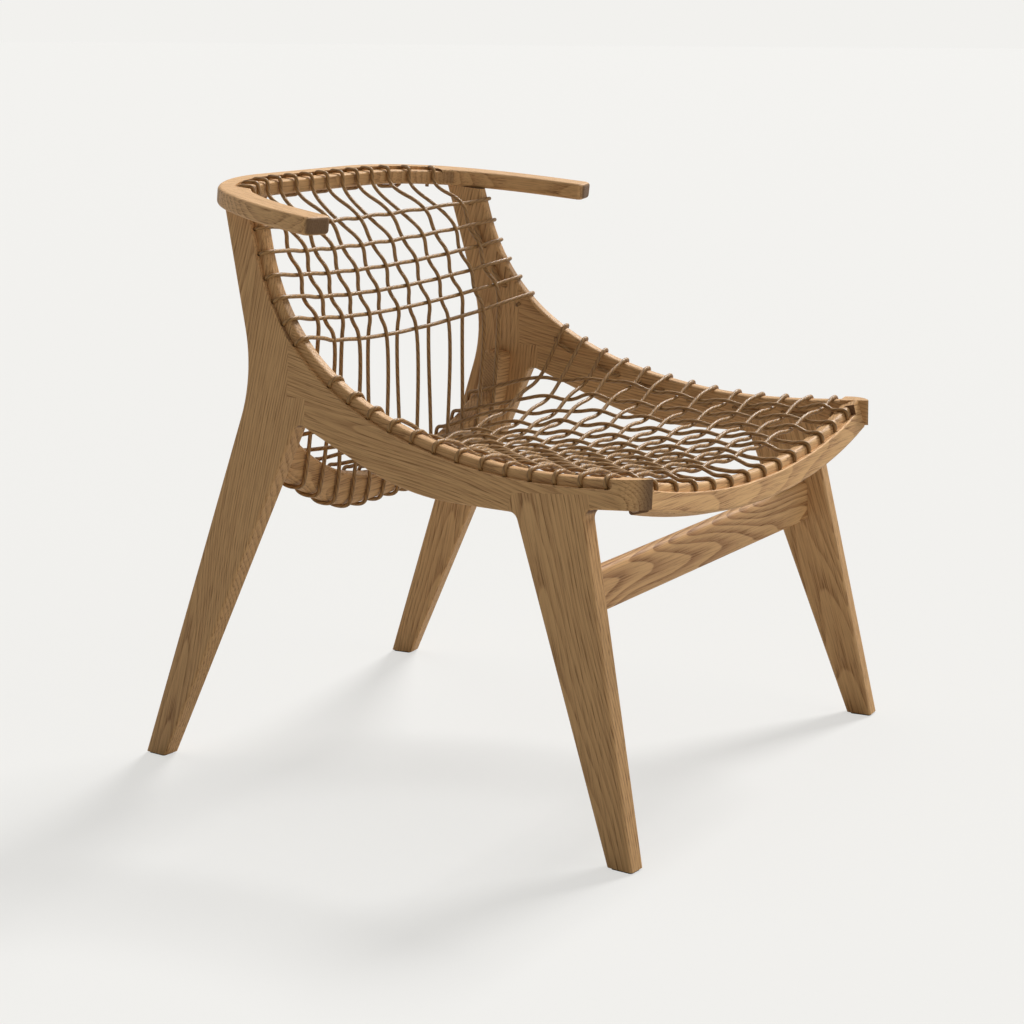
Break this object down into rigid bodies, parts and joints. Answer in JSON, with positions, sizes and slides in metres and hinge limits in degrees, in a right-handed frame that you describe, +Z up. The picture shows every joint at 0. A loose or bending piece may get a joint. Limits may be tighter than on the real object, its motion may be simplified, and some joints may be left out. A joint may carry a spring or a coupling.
{
  "type": "klismos chair",
  "caption": "Low open armchair with flat splayed side frames, a curved crest that runs into short arms, a crescent rear seat rail and a seat and back of interlaced round cord.",
  "frame": {"origin": "on the floor under the middle of the chair's width and length", "axes": "+Z up, the chair faces -Y, +X is the sitter's left"},
  "size_m": [0.6416, 0.6716, 0.6611],
  "materials": {
    "wood": "oiled, satin",
    "dowel": "plain",
    "cord": "smooth twisted cord, satin",
    "glide": "matt"
  },
  "bodies": {
    "root": {"rear_post_right": "wood", "rear_post_left": "wood", "front_leg_right": "wood", "front_leg_left": "wood", "side_rail_right": "wood", "side_rail_left": "wood", "crest_rail": "wood", "arm_right": "wood", "arm_left": "wood", "front_rail": "wood", "rear_seat_rail": "wood", "front_stretcher": "wood", "side_rail_dowels": "dowel", "front_leg_dowels": "dowel", "rear_seat_rail_dowels": "dowel", "front_rail_dowels": "dowel", "arm_dowels": "dowel", "crest_dowels": "dowel", "foot_glide_front_right": "glide", "foot_glide_front_left": "glide", "foot_glide_rear_right": "glide", "foot_glide_rear_left": "glide", "seat_cross_cord": "cord", "back_cross_cord": "cord", "long_cord": "cord"}
  },
  "joints": []
}
